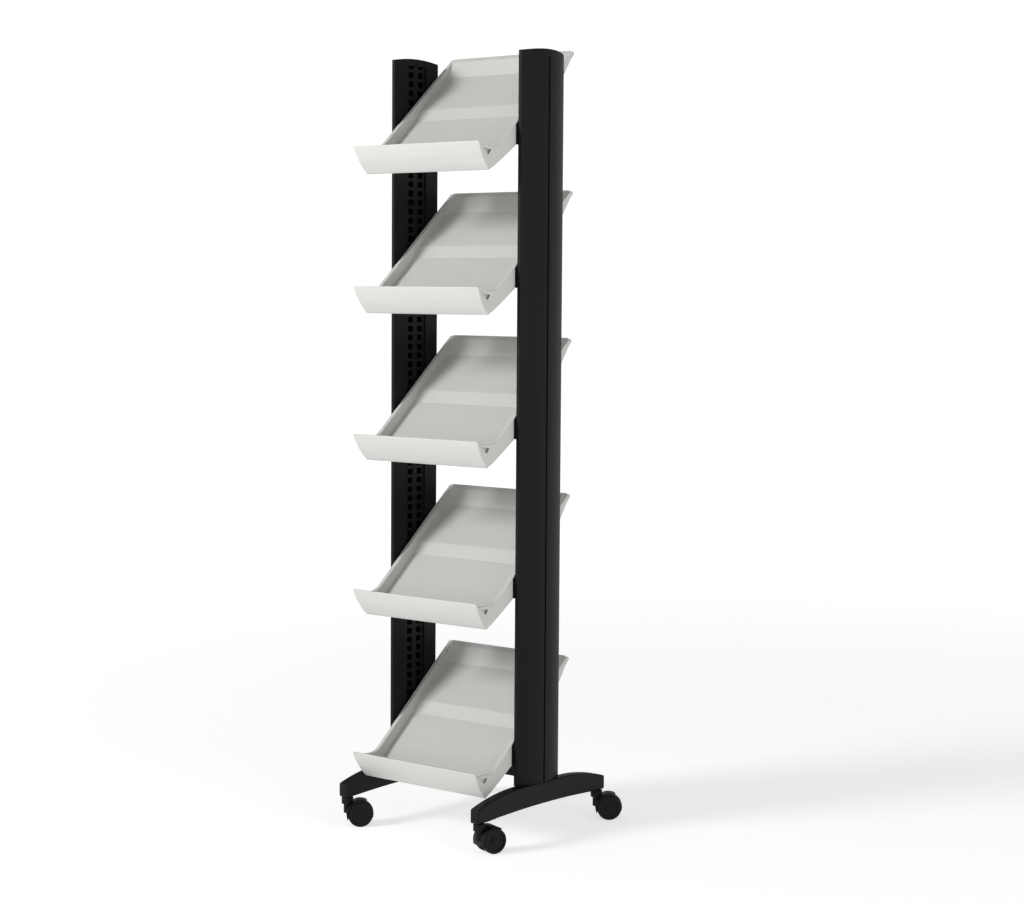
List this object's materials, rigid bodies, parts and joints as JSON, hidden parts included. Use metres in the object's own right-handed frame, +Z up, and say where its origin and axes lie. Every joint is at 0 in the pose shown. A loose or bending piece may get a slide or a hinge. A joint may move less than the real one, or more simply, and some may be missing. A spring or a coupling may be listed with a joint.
{
  "type": "newspaper rack",
  "caption": "Mobile rack with two slotted uprights on arched feet with swivel casters, carrying sloping open trays for newspapers one above another.",
  "frame": {"origin": "on the floor, midway between the uprights across the rack, and midway along the feet, which is also the middle of the uprights' depth", "axes": "+X along the width to the reader's right, -Y towards the reader, whom the tray lips face, +Z up"},
  "size_m": [0.4526, 0.4843, 1.6965],
  "materials": {
    "cover": "moulded black plastic, fine grain, slight sheen",
    "cap": "moulded black plastic, fine grain",
    "rail": "black powder-coated sheet steel",
    "foot": "black powder coat",
    "crossbar": "black powder coat",
    "bracket": "black powder coat",
    "tray": "light warm grey moulded plastic, fine grain",
    "hood": "black nylon",
    "wheel": "black nylon, smooth tread",
    "socket": "black nylon",
    "pin": "zinc-plated steel",
    "fastener": "black zinc-plated steel"
  },
  "bodies": {
    "frame": {"crossbar": "crossbar", "crossbar_bolts": "fastener", "foot_bolts": "fastener", "front_left_caster_socket": "socket", "front_right_caster_socket": "socket", "left_foot": "foot", "left_hook_rail": "rail", "left_section_1": "cover", "left_section_2": "cover", "left_section_3": "cover", "left_section_4": "cover", "left_top_cap": "cap", "rear_left_caster_socket": "socket", "rear_right_caster_socket": "socket", "right_foot": "foot", "right_hook_rail": "rail", "right_section_1": "cover", "right_section_2": "cover", "right_section_3": "cover", "right_section_4": "cover", "right_top_cap": "cap", "section_screws": "fastener", "tray_1_left_bracket": "bracket", "tray_1_right_bracket": "bracket", "tray_2_left_bracket": "bracket", "tray_2_right_bracket": "bracket", "tray_3_left_bracket": "bracket", "tray_3_right_bracket": "bracket", "tray_4_left_bracket": "bracket", "tray_4_right_bracket": "bracket", "tray_5_left_bracket": "bracket", "tray_5_right_bracket": "bracket"},
    "tray_1": {"tray_1": "tray"},
    "tray_2": {"tray_2": "tray"},
    "tray_3": {"tray_3": "tray"},
    "tray_4": {"tray_4": "tray"},
    "tray_5": {"tray_5": "tray"},
    "front_left_swivel": {"front_left_caster_hood": "hood", "front_left_caster_stem": "pin"},
    "front_left_wheels": {"front_left_caster_axle": "pin", "front_left_caster_wheel_a": "wheel", "front_left_caster_wheel_b": "wheel"},
    "front_right_swivel": {"front_right_caster_hood": "hood", "front_right_caster_stem": "pin"},
    "front_right_wheels": {"front_right_caster_axle": "pin", "front_right_caster_wheel_a": "wheel", "front_right_caster_wheel_b": "wheel"},
    "rear_left_swivel": {"rear_left_caster_hood": "hood", "rear_left_caster_stem": "pin"},
    "rear_left_wheels": {"rear_left_caster_axle": "pin", "rear_left_caster_wheel_a": "wheel", "rear_left_caster_wheel_b": "wheel"},
    "rear_right_swivel": {"rear_right_caster_hood": "hood", "rear_right_caster_stem": "pin"},
    "rear_right_wheels": {"rear_right_caster_axle": "pin", "rear_right_caster_wheel_a": "wheel", "rear_right_caster_wheel_b": "wheel"}
  },
  "joints": [
    {"name": "tray_1_lift", "type": "slide", "parent": "frame", "child": "tray_1", "axis": [0, 0, 1], "range_m": [0, 0.06]},
    {"name": "tray_2_lift", "type": "slide", "parent": "frame", "child": "tray_2", "axis": [0, 0, 1], "range_m": [0, 0.06]},
    {"name": "tray_3_lift", "type": "slide", "parent": "frame", "child": "tray_3", "axis": [0, 0, 1], "range_m": [0, 0.06]},
    {"name": "tray_4_lift", "type": "slide", "parent": "frame", "child": "tray_4", "axis": [0, 0, 1], "range_m": [0, 0.06]},
    {"name": "tray_5_lift", "type": "slide", "parent": "frame", "child": "tray_5", "axis": [0, 0, 1], "range_m": [0, 0.06]},
    {"name": "front_left_swivel_turn", "type": "hinge", "parent": "frame", "child": "front_left_swivel", "pos_m": [-0.189, -0.205, 0.065], "axis": [0, 0, 1], "continuous": true},
    {"name": "front_left_wheel_roll", "type": "hinge", "parent": "front_left_swivel", "child": "front_left_wheels", "pos_m": [-0.1692, -0.1852, 0.027], "axis": [0.7071, -0.7071, 0], "continuous": true},
    {"name": "front_right_swivel_turn", "type": "hinge", "parent": "frame", "child": "front_right_swivel", "pos_m": [0.189, -0.205, 0.065], "axis": [0, 0, 1], "continuous": true},
    {"name": "front_right_wheel_roll", "type": "hinge", "parent": "front_right_swivel", "child": "front_right_wheels", "pos_m": [0.19858, -0.17869, 0.027], "axis": [0.9397, -0.342, 0], "continuous": true},
    {"name": "rear_left_swivel_turn", "type": "hinge", "parent": "frame", "child": "rear_left_swivel", "pos_m": [-0.189, 0.205, 0.065], "axis": [0, 0, 1], "continuous": true},
    {"name": "rear_left_wheel_roll", "type": "hinge", "parent": "rear_left_swivel", "child": "rear_left_wheels", "pos_m": [-0.175, 0.22925, 0.027], "axis": [0.866, -0.5, 0], "continuous": true},
    {"name": "rear_right_swivel_turn", "type": "hinge", "parent": "frame", "child": "rear_right_swivel", "pos_m": [0.189, 0.205, 0.065], "axis": [0, 0, 1], "continuous": true},
    {"name": "rear_right_wheel_roll", "type": "hinge", "parent": "rear_right_swivel", "child": "rear_right_wheels", "pos_m": [0.21045, 0.223, 0.027], "axis": [0.6428, -0.766, 0], "continuous": true}
  ]
}
